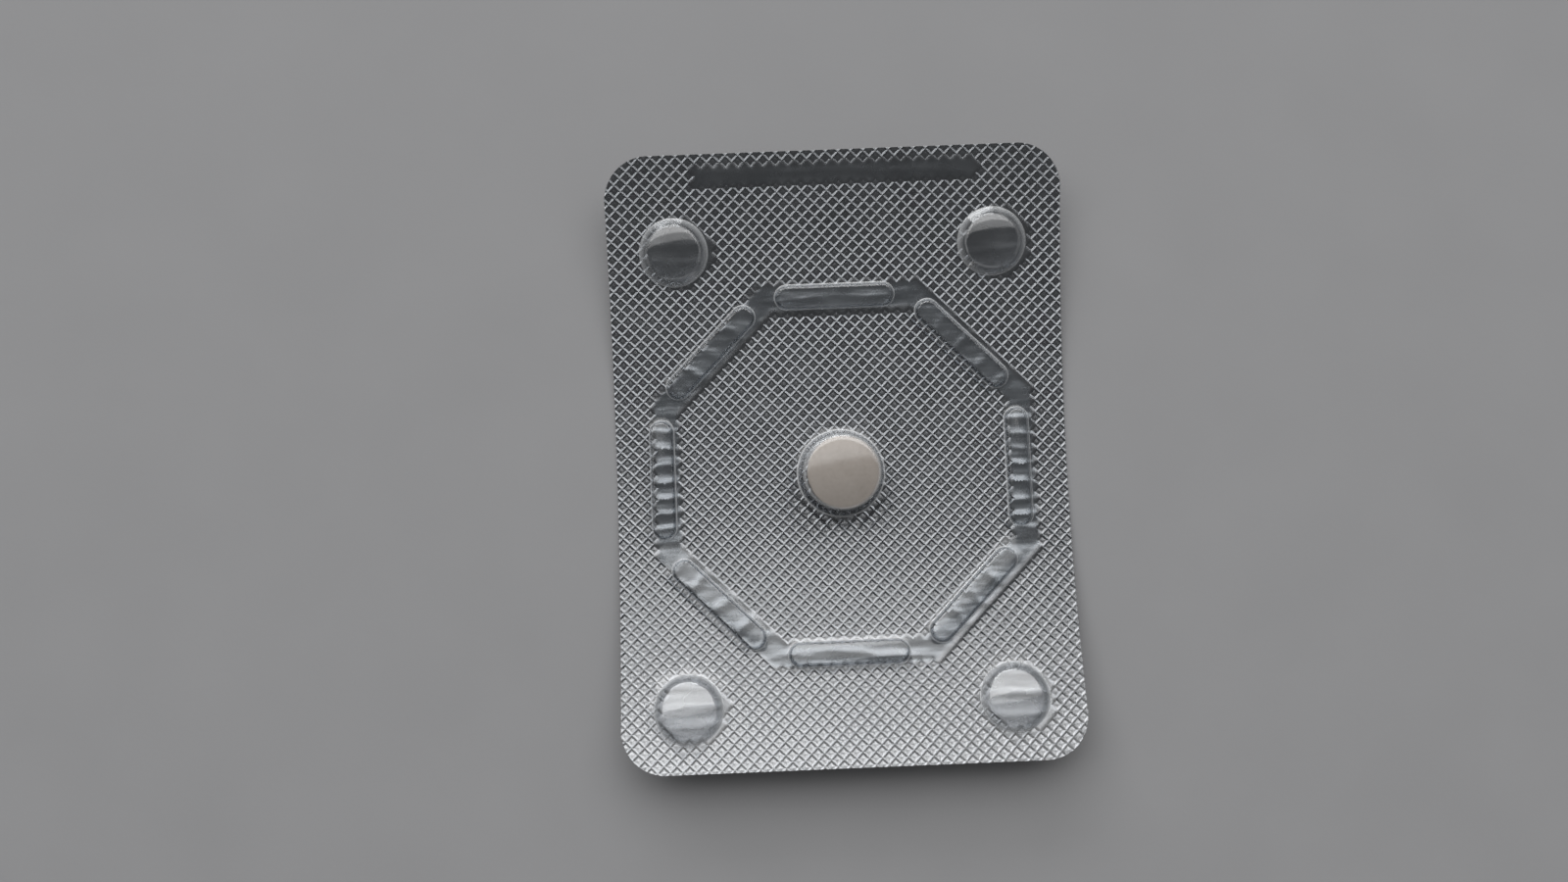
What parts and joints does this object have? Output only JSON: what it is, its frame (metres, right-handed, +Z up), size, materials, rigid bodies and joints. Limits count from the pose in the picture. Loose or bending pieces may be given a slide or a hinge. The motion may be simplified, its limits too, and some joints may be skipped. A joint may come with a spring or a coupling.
{
  "type": "pill blister pack",
  "caption": "Small curled blister card: clear formed film with a tablet pocket, dummy round pockets and an octagon of ribs, sealed to embossed aluminium foil.",
  "frame": {"origin": "on the ground plane under the middle of the card, as it lies with its pockets up", "axes": "+X across the card, +Y along it towards the end with the plain code strip, +Z up, away from the foil"},
  "size_m": [0.056, 0.0746, 0.0061],
  "materials": {
    "clear_film": "clear formed film, glossy, embossed outside its smooth windows",
    "foil": "bright bare foil with an embossed diamond grid",
    "tablet": "matt pressed powder, off white"
  },
  "bodies": {
    "root": {"blister_film": "clear_film", "lidding_foil": "foil", "tablet": "tablet"}
  },
  "joints": []
}
